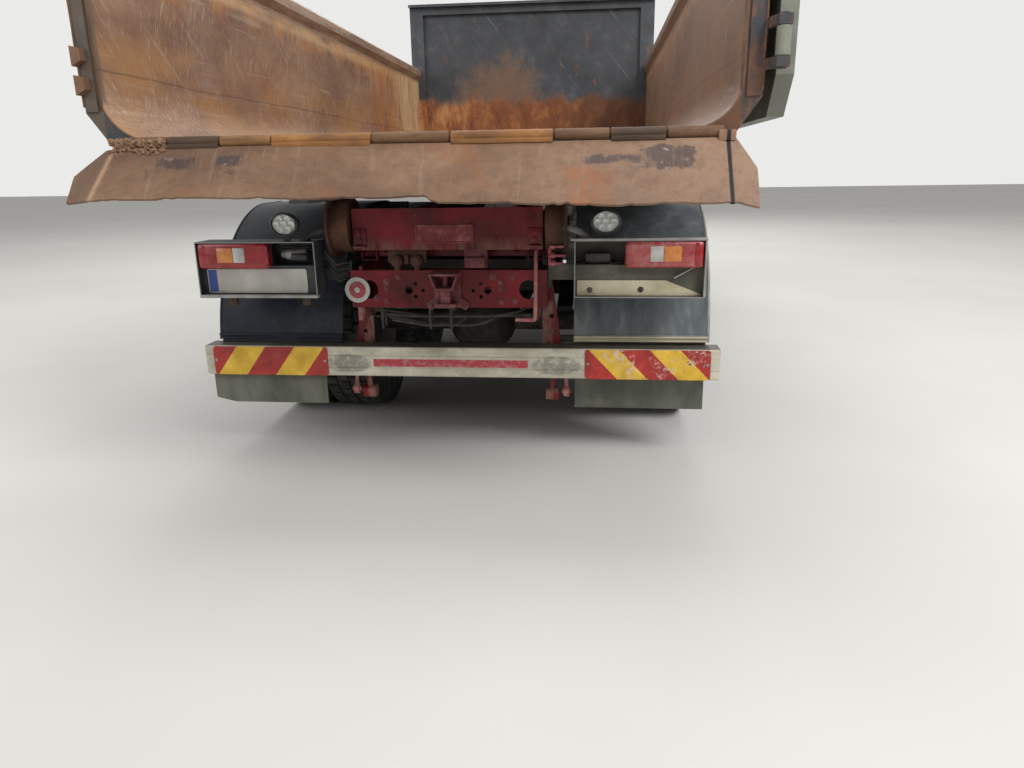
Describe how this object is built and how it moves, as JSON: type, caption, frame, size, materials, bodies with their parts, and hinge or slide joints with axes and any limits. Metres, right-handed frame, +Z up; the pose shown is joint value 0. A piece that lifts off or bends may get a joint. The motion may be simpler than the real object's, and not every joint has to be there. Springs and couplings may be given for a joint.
{
  "type": "hook lift truck",
  "caption": "Three-axle hook lift truck carrying a steel gravel body with a spill flap, a side-hung rear door, a tilting cab and steered front wheels.",
  "frame": {"origin": "on the ground, in the middle of the whole truck's box", "axes": "+Y forward, +X to the truck's right, +Z up"},
  "size_m": [2.88, 8.424, 3.02],
  "materials": {
    "red_paint": "dull",
    "chassis_paint": "satin",
    "roller_steel": "worn",
    "rusty_steel": "rusty",
    "front_wall_paint": "matt",
    "dull_aluminium": "dull",
    "marker_plate": "satin",
    "bracket_sheet": "matt",
    "lamp_red": "gloss",
    "lamp_clear": "gloss",
    "black_plastic": "matt",
    "mudflap_rubber": "dusty",
    "tank_metal": "satin",
    "engine_iron": "rough",
    "seat_cloth": "woven",
    "cab_paint": "gloss",
    "glass": "clear",
    "tyre": "matt",
    "wheel_steel": "satin"
  },
  "bodies": {
    "chassis": {"chassis_rails": "chassis_paint", "hook_subframe": "red_paint", "guide_rollers": "roller_steel", "coupling_beam": "red_paint", "tow_coupling": "red_paint", "underrun_beam": "dull_aluminium", "rear_plates": "marker_plate", "lamp_brackets": "bracket_sheet", "tail_lamps": "lamp_red", "work_lamps": "lamp_clear", "mudguards": "black_plastic", "mudflaps": "mudflap_rubber", "flap_hangers": "chassis_paint", "tanks": "tank_metal", "side_guards": "dull_aluminium", "engine": "engine_iron", "prop_shafts": "chassis_paint", "front_bumper": "black_plastic", "tow_jaw": "chassis_paint", "headlamps": "lamp_clear", "cab_steps": "black_plastic", "front_axle": "chassis_paint", "rear_axles": "chassis_paint", "rear_springs": "chassis_paint"},
    "cab": {"cab_shell": "cab_paint", "cab_glass": "glass", "grille": "black_plastic", "mirrors": "black_plastic", "cab_interior": "black_plastic", "seats": "seat_cloth"},
    "cab_door_left": {"door_left": "cab_paint", "door_glass_left": "glass"},
    "cab_door_right": {"door_right": "cab_paint", "door_glass_right": "glass"},
    "steering_link": {"tie_rod": "chassis_paint"},
    "knuckle_l": {"knuckle_left": "chassis_paint"},
    "knuckle_r": {"knuckle_right": "chassis_paint"},
    "wheel_front_left": {"tyre_front_left": "tyre", "rim_front_left": "wheel_steel"},
    "wheel_front_right": {"tyre_front_right": "tyre", "rim_front_right": "wheel_steel"},
    "wheel_mid_left": {"tyre_mid_left": "tyre", "rim_mid_left": "wheel_steel"},
    "wheel_mid_right": {"tyre_mid_right": "tyre", "rim_mid_right": "wheel_steel"},
    "wheel_rear_left": {"tyre_rear_left": "tyre", "rim_rear_left": "wheel_steel"},
    "wheel_rear_right": {"tyre_rear_right": "tyre", "rim_rear_right": "wheel_steel"},
    "tipper": {"tip_frame": "red_paint", "hook_arm": "red_paint", "bed_shell": "rusty_steel", "front_wall": "front_wall_paint", "bed_underframe": "rusty_steel", "hook_bail": "rusty_steel", "hinge_row": "rusty_steel"},
    "lift_cylinders": {"lift_barrels": "red_paint"},
    "lift_cylinder_rods": {"lift_rods": "roller_steel"},
    "rear_door": {"tail_door": "rusty_steel"},
    "lip": {"spill_flap": "rusty_steel"}
  },
  "joints": [
    {"name": "tip", "type": "hinge", "parent": "chassis", "child": "tipper", "pos_m": [0, -3.278, 1.17], "axis": [1, 0, 0], "range_deg": [0, 48]},
    {"name": "lift_swing", "type": "hinge", "parent": "chassis", "child": "lift_cylinders", "pos_m": [0, -2.138, 1.085], "axis": [1, 0, 0], "range_deg": [0, 66]},
    {"name": "lift_stroke", "type": "slide", "parent": "lift_cylinders", "child": "lift_cylinder_rods", "axis": [0, 0.9991, 0.0418], "range_m": [0, 0.6]},
    {"name": "rear_door_swing", "type": "hinge", "parent": "tipper", "child": "rear_door", "pos_m": [1.275, -4.062, 2], "axis": [0, 0, -1], "range_deg": [0, 270]},
    {"name": "lip_lift", "type": "hinge", "parent": "tipper", "child": "lip", "pos_m": [0, -4.02, 1.528], "axis": [-1, 0, 0], "range_deg": [0, 40]},
    {"name": "cab_tilt", "type": "hinge", "parent": "chassis", "child": "cab", "pos_m": [0, 4.032, 0.976], "axis": [-1, 0, 0], "range_deg": [0, 55]},
    {"name": "door_left_swing", "type": "hinge", "parent": "cab", "child": "cab_door_left", "pos_m": [-1.165, 3.909, 1.66], "axis": [0, 0, -1], "range_deg": [0, 70]},
    {"name": "door_right_swing", "type": "hinge", "parent": "cab", "child": "cab_door_right", "pos_m": [1.165, 3.909, 1.66], "axis": [0, 0, 1], "range_deg": [0, 70]},
    {"name": "steer_left", "type": "hinge", "parent": "chassis", "child": "knuckle_l", "pos_m": [-0.87, 2.812, 0.53], "axis": [0, 0, 1], "range_deg": [-38, 38]},
    {"name": "steer_right", "type": "hinge", "parent": "chassis", "child": "knuckle_r", "pos_m": [0.87, 2.812, 0.53], "axis": [0, 0, 1], "range_deg": [-38.5, 38.5]},
    {"name": "tie_rod_slide", "type": "slide", "parent": "chassis", "child": "steering_link", "axis": [1, 0, 0], "range_m": [-0.147, 0.147]},
    {"name": "front_left_spin", "type": "hinge", "parent": "knuckle_l", "child": "wheel_front_left", "pos_m": [-1.03, 2.812, 0.53], "axis": [1, 0, 0], "continuous": true},
    {"name": "front_right_spin", "type": "hinge", "parent": "knuckle_r", "child": "wheel_front_right", "pos_m": [1.03, 2.812, 0.53], "axis": [1, 0, 0], "continuous": true},
    {"name": "mid_left_spin", "type": "hinge", "parent": "chassis", "child": "wheel_mid_left", "pos_m": [-0.897, -0.898, 0.53], "axis": [1, 0, 0], "continuous": true},
    {"name": "mid_right_spin", "type": "hinge", "parent": "chassis", "child": "wheel_mid_right", "pos_m": [0.897, -0.898, 0.53], "axis": [1, 0, 0], "continuous": true},
    {"name": "rear_left_spin", "type": "hinge", "parent": "chassis", "child": "wheel_rear_left", "pos_m": [-0.897, -2.268, 0.53], "axis": [1, 0, 0], "continuous": true},
    {"name": "rear_right_spin", "type": "hinge", "parent": "chassis", "child": "wheel_rear_right", "pos_m": [0.897, -2.268, 0.53], "axis": [1, 0, 0], "continuous": true}
  ],
  "couplings": [
    {"joint": "lift_swing", "follows": "tip", "ratio": 1.3688},
    {"joint": "lift_stroke", "follows": "tip", "m_per_rad": 0.7148},
    {"joint": "steer_right", "follows": "steer_left", "ratio": 1},
    {"joint": "tie_rod_slide", "follows": "steer_left", "m_per_rad": 0.2182}
  ]
}
